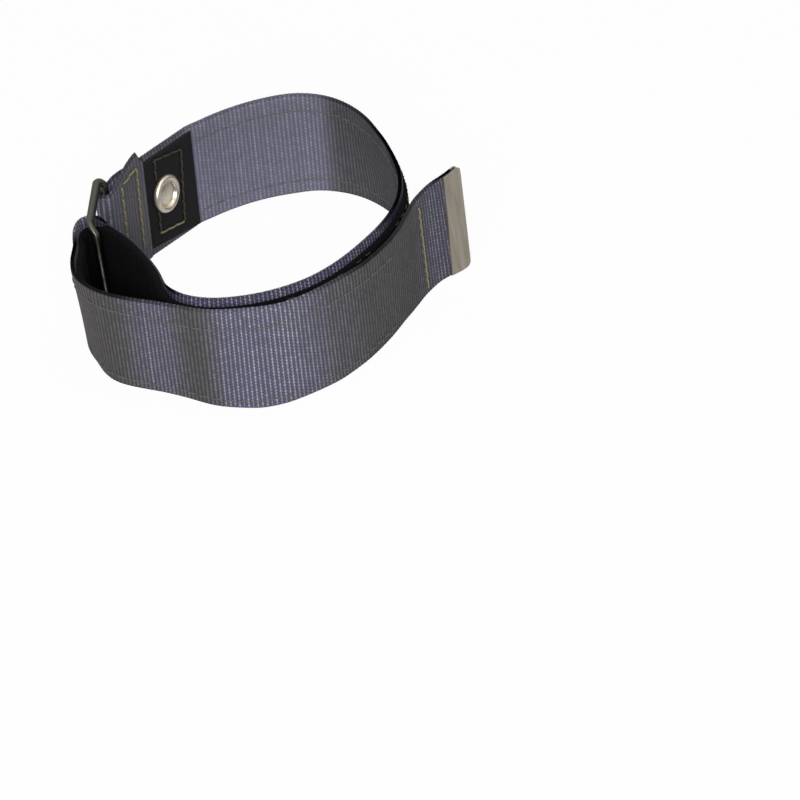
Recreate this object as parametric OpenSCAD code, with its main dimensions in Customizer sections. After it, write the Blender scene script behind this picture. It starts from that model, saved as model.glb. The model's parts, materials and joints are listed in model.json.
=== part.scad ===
// ESD wrist strap: a woven conductive band sewn round a wire ring, passed back through the ring,
// folded over and closed with hook and loop. A snap stud takes the ground cord.

/* [Band] */
// width of the woven band
band_w = 25; // [20:0.5:30]
// thickness of the woven band
band_t = 1.2; // [1:0.1:1.6]
// thickness of the loop pile on the band's outer face
pile_t = 1.8; // [1.4:0.1:2]
// thickness of the hook pad on the flap's inner face
hook_t = 1.8; // [1.4:0.1:2]
// distance of the pile and the hook pad from each edge of the band
edge_margin = 2; // [0.4:0.1:3]
// gap between the hook pad and the pile it grips
closure_gap = 0.2; // [0.1:0.05:0.4]

/* [Loop] */
// width of the loop, from the keeper to the far side, at the middle of the band
loop_width = 67.2; // [55:0.1:80]
// depth of the loop, from its front to its rear, at the middle of the band
loop_depth = 78.5; // [65:0.1:95]
// length of the free tail
tail_len = 27.4; // [24:0.2:40]
// length of the hook pad that grips the pile before the tail
grip_len = 46.2; // [40:0.2:50]
// how far the flap stands off the loop in front
flap_bulge = 1.6; // [0:0.1:2.5]

/* [Keeper and ring] */
// length of band folded round the ring and sewn down
fold_len = 12.7; // [11:0.1:14]
// gap between the two layers of the fold
fold_gap = 0.1; // [0.05:0.05:0.3]
// diameter of the ring's wire
wire_d = 1.8; // [1.4:0.1:2.2]
// distance between the ring's two long bars, centre to centre
ring_depth = 20; // [18:0.5:22]
// bend radius of the ring's corners, to the middle of the wire
ring_corner = 2; // [1.5:0.1:3]
// gap between the ring's wire and the fold round it
ring_clear = 0.15; // [0.1:0.05:0.3]
// height of the ring over its wire
ring_high = 27.8; // [27.4:0.1:29]
// distance of the ring's lower side from the floor
ring_lift = 0.2; // [0.1:0.1:1]
// gap between the ring's lower side and the band that is gathered above it
gather_gap = 0.3; // [0.2:0.1:1]

/* [Patch and snap] */
// length of the patch behind the snap
patch_len = 13.2; // [11:0.2:15]
// thickness of the patch
patch_t = 0.6; // [0.4:0.1:2]
// distance of the patch from each edge of the band
patch_margin = 0.6; // [0.2:0.1:2]
// distance of the patch from the end of the fold
patch_gap = 1.3; // [0.5:0.1:2]
// diameter of the eyelet's rim
eyelet_d = 9; // [7:0.2:10]
// thickness of the eyelet's rounded rim
eyelet_rim = 1.5; // [1:0.1:2]
// thickness of the eyelet's dished middle
eyelet_web = 0.5; // [0.3:0.1:0.8]
// diameter of the eyelet's post
post_d = 2.4; // [2:0.1:2.8]
// gap between the post and the holes it passes through
post_clear = 0.05; // [0.02:0.01:0.2]
// diameter of the stud's flange
stud_flange_d = 9; // [8:0.2:11]
// thickness of the stud's flange
stud_flange_t = 0.6; // [0.4:0.1:1]
// diameter of the stud's head
stud_head_d = 4; // [3.8:0.1:4.2]
// length of the stud head's straight side
stud_head_len = 1; // [0.8:0.1:1.4]
// diameter of the stud's neck
stud_neck_d = 3.4; // [3:0.1:3.6]
// length of the stud's neck
stud_neck_len = 1; // [0.6:0.1:1.5]
// size of the rounded top edge of the stud's head
stud_round = 0.6; // [0.3:0.1:0.8]

/* [End clip] */
// length of the clip along the band
clip_len = 7; // [5:0.2:9]
// thickness of the clip's sheet metal
clip_t = 0.5; // [0.3:0.1:0.8]
// height of the clip above the band's upper edge
clip_rise = 0.6; // [0.2:0.1:1]
// gap between the clip and the band in it
clip_gap = 0.05; // [0.02:0.01:0.1]

/* [Stitching] */
// diameter of the sewing thread
thread_d = 0.5; // [0.3:0.05:0.7]
// length of one visible stitch
stitch_len = 1.9; // [1.2:0.1:3]
// distance from one stitch to the next
stitch_pitch = 2.4; // [2:0.1:4]
// length of one stitch in the long seams
seam_len = 2.6; // [1.5:0.1:4]
// distance from one stitch to the next in the long seams
seam_pitch = 4; // [3:0.25:6]
// distance of the long seams from the band's edges
seam_inset = 5; // [3:0.5:8]

/* [Joints] */
// gap left in the band at each place where it bends
hinge_gap = 0.3; // [0.2:0.1:0.6]
// distance along the band from the ring to the place where the flap opens
flap_from_ring = 14; // [12:0.5:17]

/* [Hidden] */
$fn = 48;
eps = 0.01;

wire_r = wire_d / 2;
thread_r = thread_d / 2;
grip_t = max(pile_t, hook_t);
layer_step = band_t + pile_t + grip_t + closure_gap;
mid_z = band_w / 2;

// the loop's limits in plan
keeper_x = -28.8;
rear_y = 45.3;
far_x = keeper_x + loop_width;
front_y = rear_y - loop_depth;

// the straight keeper part of the band starts here, with this heading
keeper_at = [keeper_x + 0.4, rear_y - 27.7];
keeper_heading = 44.3;
keeper_len = fold_len + patch_gap + patch_len + 0.1;
patch_from = fold_len + patch_gap;
eyelet_at = patch_from + 5.4;
keeper_seams = [fold_len - 6.9, fold_len - 1.8];

function dir(a) = [cos(a), sin(a)];
function left(a) = [-sin(a), cos(a)];
function on_keeper(along, out) = keeper_at + along * dir(keeper_heading) + out * left(keeper_heading);
function station(p, a) = [p[0], p[1], a];
function place(s) = [s[0], s[1]];

// a smooth arc from one station to the next, each with its place and heading
function arc_steps(s, e) = max(3, ceil(norm(place(e) - place(s)) / 2.5), ceil(abs(e[2] - s[2]) / 9));
function arc_reach(s, e) = norm(place(e) - place(s)) / (3 * pow(cos((e[2] - s[2]) / 4), 2));
function arc_point(a, b, c, d, t) =
    pow(1 - t, 3) * a + 3 * pow(1 - t, 2) * t * b + 3 * (1 - t) * t * t * c + t * t * t * d;
function arc(s, e) =
    let (n = arc_steps(s, e), k = arc_reach(s, e))
    [for (i = [0 : n - 1])
        arc_point(place(s), place(s) + k * dir(s[2]), place(e) - k * dir(e[2]), place(e), i / n)];
function run(stations) = concat(
    [for (i = [0 : len(stations) - 2]) each arc(stations[i], stations[i + 1])],
    [place(stations[len(stations) - 1])]);

// places along a line of points, by distance from its start
function travel(p) =
    [for (i = 0, s = 0; i < len(p); s = s + (i + 1 < len(p) ? norm(p[i + 1] - p[i]) : 0), i = i + 1) s];
function at(p, s) =
    let (w = travel(p))
    [lookup(s, [for (i = [0 : len(p) - 1]) [w[i], p[i][0]]]),
     lookup(s, [for (i = [0 : len(p) - 1]) [w[i], p[i][1]]])];
function heading(p, s) = let (d = at(p, s + 0.2) - at(p, s - 0.2)) atan2(d[1], d[0]);
function total(p) = let (w = travel(p)) w[len(w) - 1];
function cut(p, from, to) =
    let (w = travel(p))
    concat([at(p, from)],
        [for (i = [0 : len(p) - 1]) if (w[i] > from + 0.05 && w[i] < to - 0.05) p[i]],
        [at(p, to)]);
function point_heading(p, i) =
    let (d = p[min(i + 1, len(p) - 1)] - p[max(i - 1, 0)]) atan2(d[1], d[0]);
function aside(p, out) = [for (i = [0 : len(p) - 1]) p[i] + out * left(point_heading(p, i))];
function back(p) = [for (i = [len(p) - 1 : -1 : 0]) p[i]];

// the ring's two long bars
fold_r = wire_r + ring_clear + band_t / 2;
fold_out = -(band_t + fold_gap);
rear_bar = on_keeper(0, fold_out / 2);
ring_heading = -96.9;
front_bar = rear_bar + ring_depth * dir(ring_heading);

// the loop: from the sewn end, round the ring's rear bar, round the wrist, back through the ring
loop_stations = [
    station(on_keeper(fold_len, fold_out), keeper_heading + 180),
    station(on_keeper(fold_len - 5, fold_out), keeper_heading + 180),
    station(on_keeper(0, fold_out / 2 - fold_r), keeper_heading + 180),
    station(on_keeper(-fold_r, fold_out / 2), keeper_heading + 90),
    station(on_keeper(0, fold_out / 2 + fold_r), keeper_heading),
    station(on_keeper(fold_len - 4, 0), keeper_heading),
    station(on_keeper(keeper_len, 0), keeper_heading),
    [keeper_x + 23.9, rear_y - 6.1, 31],
    [far_x - 22.4, rear_y, 0],
    [far_x - 5.2, rear_y - 11.6, -60],
    [far_x, rear_y - 39.8, -93],
    [far_x - 14.1, front_y + 11.9, -134],
    [far_x - 40.9, front_y, -181],
    [keeper_x + 11.6, front_y + 10.7, -254]];
rear_i = 8;
front_i = 12;
pass_at = front_bar + [1.2, 6.6];
bend_stations = [
    station(pass_at, -224),
    station(front_bar + [-3.8, 5.9], -120),
    station(front_bar + [-5.3, -3], -100)];
loop_run = run(loop_stations);
whole_loop = run(concat(loop_stations, [bend_stations[0]]));
function loop_travel(i) = total(run([for (j = [0 : i]) loop_stations[j]]));

// the flap: lies on the loop's front, one layer further out, and ends in the free tail
flap_lead = 4;
grip_to = loop_travel(front_i) + 2.5;
grip_from = grip_to - grip_len;
grip_cut = cut(loop_run, grip_from, grip_to);
grip_way = travel(grip_cut);
bulge_from = 12;
bulge_len = 8;
function stand_off(w) = flap_bulge * exp(-pow((grip_len - bulge_from - w) / bulge_len, 2));
grip_line = back([for (i = [0 : len(grip_cut) - 1])
    grip_cut[i] + (layer_step + stand_off(grip_way[i])) * left(point_heading(grip_cut, i))]);
grip_end = len(grip_line) - 1;
flap_stations = concat(loop_stations, bend_stations, [
    [keeper_x - 2.8, front_y + 10.2, -50],
    [keeper_x + 8.2, front_y + 2.9, -27],
    station(grip_line[0], point_heading(grip_line, 0))]);
tail_from = grip_line[grip_end];
tail_bend = tail_from + (tail_len - 12.4) * dir(62.5);
tail_tip = tail_bend + 12.4 * dir(54);
band_run = concat(
    run(flap_stations),
    [for (i = [1 : grip_end - 1]) grip_line[i]],
    run([station(tail_from, point_heading(grip_line, grip_end)),
        station(tail_bend, 64),
        station(tail_tip, 50)]));

// distances along the whole band
pass_s = total(whole_loop);
flap_s = pass_s + flap_from_ring;
grip_s = total(run(flap_stations));
tail_s = grip_s + total(grip_line);
end_s = total(band_run);
pile_s = loop_travel(rear_i) + 22;
hook_s = grip_s + flap_lead;
flap_pile_end_s = grip_s - 16;
clip_s = end_s - clip_len;
tail_seam_s = clip_s - 11;
hook_end_s = tail_seam_s + 2;
root_end_s = flap_s - band_t / 2 - hinge_gap;
flap_end_s = tail_s - band_t / 2 - hinge_gap;
strip_gap = hinge_gap + 0.5;
flap_hinge = at(band_run, flap_s);
tail_hinge = at(band_run, tail_s);

// where the origin lies: the middle of everything in plan, on the floor
outer_line = aside(cut(band_run, loop_travel(6), end_s), -band_t / 2);
outer_back = aside(cut(band_run, loop_travel(6), end_s), band_t / 2);
clip_tip_line = aside(cut(band_run, clip_s, end_s), -band_t / 2 - clip_gap - clip_t);
clip_end = at(band_run, end_s);
clip_r = band_t / 2 + clip_gap + clip_t;
all_x = [for (p = concat(outer_line, outer_back, clip_tip_line)) p[0]];
all_y = [for (p = concat(outer_line, outer_back, clip_tip_line)) p[1]];
centre = [(min(all_x) + max(max(all_x), clip_end[0] + clip_r)) / 2, (min(all_y) + max(all_y)) / 2];

band_col = [0.36, 0.36, 0.42];
pile_col = [0.06, 0.06, 0.07];
thread_col = [0.68, 0.62, 0.22];
metal_col = [0.78, 0.77, 0.74];

// a strip between two distances along the band and two distances out from its middle
module strip(from, to, out_a, out_b, z_from, z_to) {
    line = cut(band_run, from, to);
    translate([0, 0, z_from])
    linear_extrude(z_to - z_from)
    polygon(concat(aside(line, out_a), back(aside(line, out_b))));
}

// the band's lower edge gathers to pass above the ring's lower side; this takes the gathered edge away
pass_gather = ring_lift + wire_d + gather_gap;
keeper_gather = ring_lift + wire_r + ring_corner;
module gather(p, deep, near, far) {
    translate([p[0], p[1], -eps])
    cylinder(h = deep + eps, r1 = far, r2 = near);
}

module ring_gathers() {
    gather(rear_bar, keeper_gather, fold_r + band_t / 2 + 0.4, 10);
    gather(pass_at, pass_gather, 4.8, 12);
}

// the post's hole through the band and the patch
module post_hole() {
    snap_axis(0)
    translate([0, 0, -10])
    cylinder(h = 20, r = post_d / 2 + post_clear);
}

// the snap's axis, pointing out of the loop, with its zero this far out from the band's middle
module snap_axis(out) {
    p = on_keeper(eyelet_at, out);
    translate([p[0], p[1], mid_z])
    rotate([0, 0, keeper_heading])
    rotate([-90, 0, 0])
    children();
}

module band_loop() {
    color(band_col)
    difference() {
        strip(0, root_end_s, -band_t / 2, band_t / 2, 0, band_w);
        ring_gathers();
        post_hole();
    }
}

module band_flap() {
    color(band_col)
    difference() {
        union() {
            strip(flap_s, flap_end_s, -band_t / 2, band_t / 2, 0, band_w);
            translate([flap_hinge[0], flap_hinge[1], 0])
            cylinder(h = band_w, r = band_t / 2);
        }
        ring_gathers();
    }
}

module band_tail() {
    color(band_col)
    union() {
        strip(tail_s, end_s, -band_t / 2, band_t / 2, 0, band_w);
        translate([tail_hinge[0], tail_hinge[1], 0])
        cylinder(h = band_w, r = band_t / 2);
    }
}

module pile_strip_loop() {
    color(pile_col)
    difference() {
        strip(pile_s, root_end_s, band_t / 2, band_t / 2 + pile_t, edge_margin, band_w - edge_margin);
        ring_gathers();
    }
}

module pile_strip_flap() {
    color(pile_col)
    difference() {
        strip(flap_s + strip_gap, flap_pile_end_s, band_t / 2, band_t / 2 + pile_t,
            edge_margin, band_w - edge_margin);
        ring_gathers();
    }
}

module hook_pad() {
    color(pile_col)
    strip(hook_s, flap_end_s, band_t / 2, band_t / 2 + hook_t, edge_margin, band_w - edge_margin);
}

module hook_pad_end() {
    color(pile_col)
    strip(tail_s + strip_gap, hook_end_s, band_t / 2, band_t / 2 + hook_t,
        edge_margin, band_w - edge_margin);
}

module eyelet_patch() {
    color(pile_col)
    difference() {
        translate([keeper_at[0], keeper_at[1], 0])
        rotate([0, 0, keeper_heading])
        translate([patch_from, -band_t / 2 - patch_t, patch_margin])
        cube([patch_len, patch_t, band_w - 2 * patch_margin]);
        post_hole();
    }
}

module eyelet() {
    color(metal_col)
    snap_axis(-band_t / 2 - patch_t)
    rotate([180, 0, 0])
    union() {
        rotate_extrude()
        intersection() {
            union() {
                translate([eyelet_d / 2 - eyelet_rim / 2, eyelet_rim / 2 - 0.2])
                circle(d = eyelet_rim);
                square([eyelet_d / 2 - eyelet_rim / 2, eyelet_web]);
            }
            square([eyelet_d, eyelet_rim * 2]);
        }
        translate([0, 0, -patch_t - band_t - stud_flange_t])
        cylinder(h = patch_t + band_t + stud_flange_t + eps, d = post_d);
    }
}

module snap_stud() {
    neck_z = stud_flange_t + stud_neck_len;
    head_z = neck_z + stud_head_len;
    color(metal_col)
    snap_axis(band_t / 2)
    difference() {
        rotate_extrude()
        union() {
            square([stud_flange_d / 2 - stud_flange_t / 2, stud_flange_t]);
            translate([stud_flange_d / 2 - stud_flange_t / 2, stud_flange_t / 2])
            intersection() {
                circle(d = stud_flange_t);
                translate([0, -stud_flange_t])
                square([stud_flange_t, stud_flange_t * 2]);
            }
            square([stud_neck_d / 2, neck_z + eps]);
            translate([0, neck_z])
            square([stud_head_d / 2, stud_head_len]);
            translate([0, head_z])
            square([stud_head_d / 2 - stud_round, stud_round]);
            translate([stud_head_d / 2 - stud_round, head_z])
            intersection() {
                circle(r = stud_round);
                square([stud_round, stud_round]);
            }
        }
        translate([0, 0, -eps])
        cylinder(h = stud_flange_t + post_clear + eps, r = post_d / 2 + post_clear);
    }
}

module ring_corner_at(x, z, turn) {
    translate([x, 0, z])
    rotate([90, 0, 0])
    rotate([0, 0, turn])
    rotate_extrude(angle = 90)
    translate([ring_corner, 0])
    circle(r = wire_r);
}

module ring() {
    low = ring_lift + wire_r;
    high = ring_lift + ring_high - wire_r;
    far = ring_depth;
    color(metal_col)
    translate([rear_bar[0], rear_bar[1], 0])
    rotate([0, 0, ring_heading])
    union() {
        for (x = [0, far]) {
            translate([x, 0, low + ring_corner])
            cylinder(h = high - low - 2 * ring_corner, r = wire_r);
        }
        for (z = [low, high]) {
            translate([ring_corner, 0, z])
            rotate([0, 90, 0])
            cylinder(h = far - 2 * ring_corner, r = wire_r);
        }
        ring_corner_at(far - ring_corner, high - ring_corner, 0);
        ring_corner_at(ring_corner, high - ring_corner, 90);
        ring_corner_at(ring_corner, low + ring_corner, 180);
        ring_corner_at(far - ring_corner, low + ring_corner, 270);
    }
}

module end_clip() {
    inner = band_t / 2 + clip_gap;
    height = band_w + clip_rise;
    color(metal_col)
    difference() {
        union() {
            strip(clip_s, end_s, -clip_r, clip_r, 0, height);
            translate([clip_end[0], clip_end[1], 0])
            cylinder(h = height, r = clip_r);
        }
        translate([0, 0, -eps])
        strip(clip_s - 1, end_s + eps, -inner, inner, 0, height + 2 * eps);
    }
}

// one stitch standing up the band's width, or lying along it
module stitch_up(p, z, size) {
    translate([p[0], p[1], z - size / 2])
    cylinder(h = size, r = thread_r, $fn = 12);
}

module stitch_along(p, z, turn, size) {
    translate([p[0], p[1], z])
    rotate([0, 0, turn])
    rotate([0, 90, 0])
    translate([0, 0, -size / 2])
    cylinder(h = size, r = thread_r, $fn = 12);
}

// a row of stitches up the keeper between two heights, and one along it between two distances
module keeper_row_up(along, out, z_from, z_to) {
    n = floor((z_to - z_from) / stitch_pitch);
    for (i = [0 : n]) {
        z = z_from + i * (z_to - z_from) / n;
        away = norm([along - eyelet_at, z - mid_z]);
        if (away > eyelet_d / 2 + stitch_len / 2 + thread_r) {
            stitch_up(on_keeper(along, out), z, stitch_len);
        }
    }
}

module keeper_row_along(along_from, along_to, out, z) {
    n = max(1, floor((along_to - along_from) / stitch_pitch));
    for (i = [0 : n - 1]) {
        along = along_from + (i + 0.5) * (along_to - along_from) / n;
        stitch_along(on_keeper(along, out), z, keeper_heading, stitch_len);
    }
}

module keeper_stitching() {
    face = fold_out - band_t / 2;
    low = keeper_gather + 0.6;
    top = band_w - keeper_gather - 0.6;
    color(thread_col)
    union() {
        for (along = keeper_seams) {
            keeper_row_up(along, face, low + 1.4, top - 1.4);
        }
        keeper_row_along(keeper_seams[0] - 0.2, keeper_seams[1] + 0.2, face, top);
    }
}

module patch_stitching() {
    face = -band_t / 2 - patch_t;
    box_from = patch_from + 2.9;
    box_to = box_from + 8.2;
    low = 3.4;
    high = band_w - 2.8;
    color(thread_col)
    union() {
        keeper_row_up(box_from, face, low + 1.4, high - 1.4);
        keeper_row_up(box_to, face, low + 1.4, high - 1.4);
        keeper_row_along(box_from, box_to, face, low);
        keeper_row_along(box_from, box_to, face, high);
    }
}

module tail_stitching() {
    p = at(band_run, tail_seam_s) - (band_t / 2) * left(heading(band_run, tail_seam_s));
    n = floor((band_w - 4) / stitch_pitch);
    color(thread_col)
    union() {
        for (i = [0 : n]) {
            stitch_up(p, 2 + i * (band_w - 4) / n, stitch_len);
        }
    }
}

// long seams near both edges, on the face turned away from the pile
module seams(from, to) {
    n = floor((to - from) / seam_pitch);
    for (i = [0 : n]) {
        s = from + i * (to - from) / n;
        turn = heading(band_run, s);
        p = at(band_run, s) - (band_t / 2) * left(turn);
        for (z = [seam_inset, band_w - seam_inset]) {
            stitch_along(p, z, turn, seam_len);
        }
    }
}

module loop_seams() {
    color(thread_col)
    seams(loop_travel(6) + seam_pitch, pass_s - 2 * seam_pitch);
}

module flap_seams() {
    color(thread_col)
    seams(flap_s + 2 * seam_pitch, tail_s - seam_pitch);
}

translate([-centre[0], -centre[1], 0]) {
    band_loop();
    band_flap();
    band_tail();
    pile_strip_loop();
    pile_strip_flap();
    hook_pad();
    hook_pad_end();
    eyelet_patch();
    eyelet();
    snap_stud();
    ring();
    end_clip();
    keeper_stitching();
    patch_stitching();
    tail_stitching();
    loop_seams();
    flap_seams();
}
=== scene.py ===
# %% [markdown]
# # A wrist strap that leads static charge away
# The strap is one length of woven band. One end is sewn round a wire ring, the band goes round the wrist,
# comes back through the ring and is folded over on itself, where hooks hold it in a black pile. Its free
# tail ends in a folded metal clip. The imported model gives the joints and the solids, and this lesson gives
# the strap its cloth, thread and metal.

# %% The fixed frame
import json
from functools import partial

import bpy
import numpy as np
from mathutils import Matrix


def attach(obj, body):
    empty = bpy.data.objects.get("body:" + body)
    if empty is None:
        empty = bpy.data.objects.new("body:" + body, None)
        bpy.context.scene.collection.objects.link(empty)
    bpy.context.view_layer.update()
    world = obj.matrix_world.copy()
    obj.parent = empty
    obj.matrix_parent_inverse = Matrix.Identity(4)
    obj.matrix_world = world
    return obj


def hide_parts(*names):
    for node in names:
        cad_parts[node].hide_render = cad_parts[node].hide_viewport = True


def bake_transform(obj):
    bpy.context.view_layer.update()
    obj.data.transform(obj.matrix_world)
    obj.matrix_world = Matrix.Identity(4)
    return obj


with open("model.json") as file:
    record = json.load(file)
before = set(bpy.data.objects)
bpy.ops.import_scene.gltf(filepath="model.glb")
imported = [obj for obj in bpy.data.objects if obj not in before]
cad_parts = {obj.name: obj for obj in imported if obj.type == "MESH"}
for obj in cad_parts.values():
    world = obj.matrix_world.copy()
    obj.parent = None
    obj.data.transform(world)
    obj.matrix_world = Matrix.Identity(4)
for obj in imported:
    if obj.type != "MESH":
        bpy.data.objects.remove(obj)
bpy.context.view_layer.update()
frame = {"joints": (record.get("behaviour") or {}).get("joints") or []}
joint_at = {j["name"]: np.array(j["pos_m"]) * 1000 for j in frame["joints"]}

# %% [markdown]
# ## The band's route
# A band that stands on its edge is a line in plan with a height. The line could be drawn by hand as a
# curve, but then every piece sewn to it would have to follow it by eye. Here it is worked out from a few
# stations, each with a place and a heading, so any piece can ask where the band is and which way it faces.

# %% Sizes in millimetres, headings in degrees
band_wide = 25.0
band_thick = 1.2
half_thick = band_thick / 2
pile_thick = 1.8
hook_thick = 1.8
layer_gap = 0.2
layer_step = band_thick + pile_thick + hook_thick + layer_gap
fold_long = 12.7
fold_gap = 0.1
fold_out = -(band_thick + fold_gap)
wire_r = 0.9
wire_gap = 0.15
fold_r = wire_r + wire_gap + half_thick
ring_long = 20.0
ring_lift = 0.2
ring_high = 27.8
ring_corner = 2.0
clip_long = 7.0
keeper_start = np.array([-28.4, 17.6])
keeper_long = 27.3
keeper_turn = 44.3
ring_turn = -96.9

# %% Headings and arcs
arc_points = 80


def ahead(angle):
    """One step along a heading in degrees: (cos, sin)."""
    turn = np.radians(angle)
    return np.array([np.cos(turn), np.sin(turn)])


def beside(angle):
    """One step to the left of a heading: the heading turned by a quarter."""
    return ahead(angle + 90)


def left_of(steps):
    """Many directions turned to the left by a quarter: (x, y) becomes (-y, x)."""
    return steps[:, ::-1] * [-1, 1]


def keeper_plan(along, out):
    """A place on the straight sewn part: so far along it, and so far out of the loop."""
    return keeper_start + along * ahead(keeper_turn) + out * beside(keeper_turn)


def arc(start, end):
    """A cubic curve between two stations (x, y, heading). Its handles lie along the two headings, and
    each is chord / (3 cos^2(turn / 4)) long, which is the length that fits a circle."""
    first = np.array(start[:2])
    last = np.array(end[:2])
    turn = np.radians(end[2] - start[2])
    reach = np.linalg.norm(last - first) / (3 * np.cos(turn / 4) ** 2)
    second = first + reach * ahead(start[2])
    third = last - reach * ahead(end[2])
    t = np.linspace(0, 1, arc_points, endpoint=False)[:, None]
    return (1 - t) ** 3 * first + 3 * (1 - t) ** 2 * t * second + 3 * (1 - t) * t**2 * third + t**3 * last


def run(stations):
    """The arcs between neighbouring stations, one after another."""
    arcs = [arc(a, b) for a, b in zip(stations, stations[1:])]
    return np.vstack([*arcs, np.array([stations[-1][:2]])])


def travel(line):
    """How far each point of a line is from its first one, along the line."""
    return np.concatenate([[0], np.cumsum(np.linalg.norm(np.diff(line, axis=0), axis=1))])


def headings(line):
    """The unit direction of a line at each of its points: the difference of its neighbours."""
    step = np.gradient(line, axis=0)
    return step / np.linalg.norm(step, axis=1)[:, None]


def read_along(way, rows, at):
    """Read rows of numbers, which are kept at the distances way, at other distances."""
    return np.stack([np.interp(at, way, column) for column in np.transpose(rows)], axis=-1)


# %% Stations
# The loop starts at the cut end of the sewn fold, goes round the ring's rear bar, along the sewn part, and
# round the wrist. The bend leads it through the ring and back over itself.
rear_bar = keeper_plan(0, fold_out / 2)
front_bar = rear_bar + ring_long * ahead(ring_turn)
loop_stations = [
    (*keeper_plan(fold_long, fold_out), keeper_turn + 180),
    (*keeper_plan(fold_long - 5, fold_out), keeper_turn + 180),
    (*keeper_plan(0, fold_out / 2 - fold_r), keeper_turn + 180),
    (*keeper_plan(-fold_r, fold_out / 2), keeper_turn + 90),
    (*keeper_plan(0, fold_out / 2 + fold_r), keeper_turn),
    (*keeper_plan(fold_long - 4, 0), keeper_turn),
    (*keeper_plan(keeper_long, 0), keeper_turn),
    (-4.9, 39.2, 31),
    (16, 45.3, 0),
    (33.2, 33.7, -60),
    (38.4, 5.5, -93),
    (24.3, -21.3, -134),
    (-2.5, -33.2, -181),
    (-17.2, -22.5, -254),
]
pass_at = front_bar + [1.2, 6.6]
bend_stations = [
    (*pass_at, -224),
    (*(front_bar + [-3.8, 5.9]), -120),
    (*(front_bar + [-5.3, -3.0]), -100),
    (-31.6, -23.0, -50),
    (-20.6, -30.3, -27),
]


def way_to(count):
    """How far along the band the loop's station of this number is."""
    return travel(run(loop_stations[:count]))[-1]


# %% The whole line of the band
# Where the hooks grip, the flap's line is the loop's own line moved out by the layers between them, and a
# little more where the cloth bulges. The tail beyond it bends away in two legs.
grip_long = 46.2
grip_points = 300
bulge_high = 1.6
bulge_wide = 8
first_leg = 15
second_leg = 12.4
band_points = 8000
loop_line = run(loop_stations)
grip_end = way_to(13) + 2.5
bulge_at = grip_end - 12
grip_way = np.linspace(grip_end - grip_long, grip_end, grip_points)
grip = read_along(travel(loop_line), loop_line, grip_way)
stand_off = bulge_high * np.exp(-(((bulge_at - grip_way) / bulge_wide) ** 2))
grip_line = (grip + (layer_step + stand_off)[:, None] * left_of(headings(grip)))[::-1]
grip_turns = np.degrees(np.arctan2(*headings(grip_line).T[::-1]))
tail_bend = grip_line[-1] + first_leg * ahead(62.5)
tail_tip = tail_bend + second_leg * ahead(54)
before_grip = run(loop_stations + bend_stations + [(*grip_line[0], grip_turns[0])])
after_grip = run([(*grip_line[-1], grip_turns[-1]), (*tail_bend, 64), (*tail_tip, 50)])
rough_line = np.vstack([before_grip[:-1], grip_line[:-1], after_grip])
rough_way = travel(rough_line)
end_s = rough_way[-1]
band_way = np.linspace(0, end_s, band_points)
plan_shift = joint_at["ring_swing"][:2] - rear_bar
band_line = read_along(rough_way, rough_line, band_way) + plan_shift
band_ahead = headings(band_line)
band_out = left_of(band_ahead)

# %% Places along the band
loop_s = way_to(7)
rear_s = way_to(9)
pass_s = travel(run([*loop_stations, bend_stations[0]]))[-1]
flap_s = pass_s + 14
grip_s = travel(before_grip)[-1]
tail_s = grip_s + travel(grip_line)[-1]
clip_s = end_s - clip_long
pile_s = rear_s + 22
hook_s = grip_s + 4
flap_pile_end = grip_s - 16
tail_seam_s = clip_s - 11
hook_end_s = tail_seam_s + 4
tape_margin = 2.0
print("band", round(end_s), "mm long, the flap opens at", round(flap_s), "and the tail at", round(tail_s))

# %% How the band leans
# A soft band does not stand upright all along. Each row below is a distance along the band, then how far
# its lower edge and its upper edge stand out from the line there, in mm. From the ring to the rear it leans
# along the depth of the strap, and from there on square to itself. A bell evens the rows out.
lean_rows = np.array([
    (0, -1.3, 0.5), (50, -1.3, 0.5), (60, -1.3, 0.8), (71, -1.3, 1.2), (81, -0.3, 0.4), (88, 0.6, -0.4),
    (99, 1.6, -1.5), (107, 1.4, -1.3), (119, 0.2, -0.2), (132, -0.8, -0.3), (146, -0.4, -0.3),
    (165, 0, 0.3), (185, 0, -0.2), (197, 0, 0.3), (208, 0, -0.7), (228, 0, 0.3), (237, -0.3, -0.5),
    (248, 0.9, -0.1), (259, 2.4, -1.3), (269, 0.8, -0.6), (288, 0.6, -0.5), (304, -1.9, 0), (314, -0.8, -0.2),
    (323, -1.3, -0.6), (333, -0.2, -0.3), (349, 1.8, 0.6), (360, 1.5, 1.8), (367, 0.2, 0.9), (372, -1.8, 0.0),
])
bell_points = 171
keeper_lean_to = 20
rear_lean_to = 74
bell = np.hanning(bell_points) / np.hanning(bell_points).sum()
lean_edges = read_along(lean_rows[:, 0], lean_rows[:, 1:], band_way)
lean_edges = np.pad(lean_edges, ((bell_points // 2, bell_points // 2), (0, 0)), mode="edge")
lean_edges = np.stack([np.convolve(edge, bell, mode="valid") for edge in lean_edges.T], axis=1)
keeper_lean = np.array([0, 1 / np.cos(np.radians(keeper_turn))])
rear_lean = np.stack([np.zeros(band_points), 1 / np.maximum(band_out[:, 1], 0.5)], axis=1)
lean_way = np.where(band_way[:, None] < rear_lean_to, rear_lean, band_out)
lean_way = np.where(band_way[:, None] < keeper_lean_to, keeper_lean, lean_way)


def along_band(s, rows):
    """Read rows of numbers kept along the band at the distances s."""
    return read_along(band_way, rows, s)


def level_along(s, rows):
    """Directions kept along the band, read at the distances s and made level in space."""
    return np.concatenate([along_band(s, rows), np.zeros((len(s), 1))], axis=1)


def lean(s, z):
    """How far the band leans out at a height: from the lower edge's value to the upper one's in a line."""
    edges = along_band(s, lean_edges)
    return edges[..., 0] + (edges[..., 1] - edges[..., 0]) * z / band_wide


def metres(plan, z):
    """Points in metres from places in plan and heights in millimetres."""
    return np.concatenate([plan, z[..., None]], axis=-1) / 1000


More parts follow.
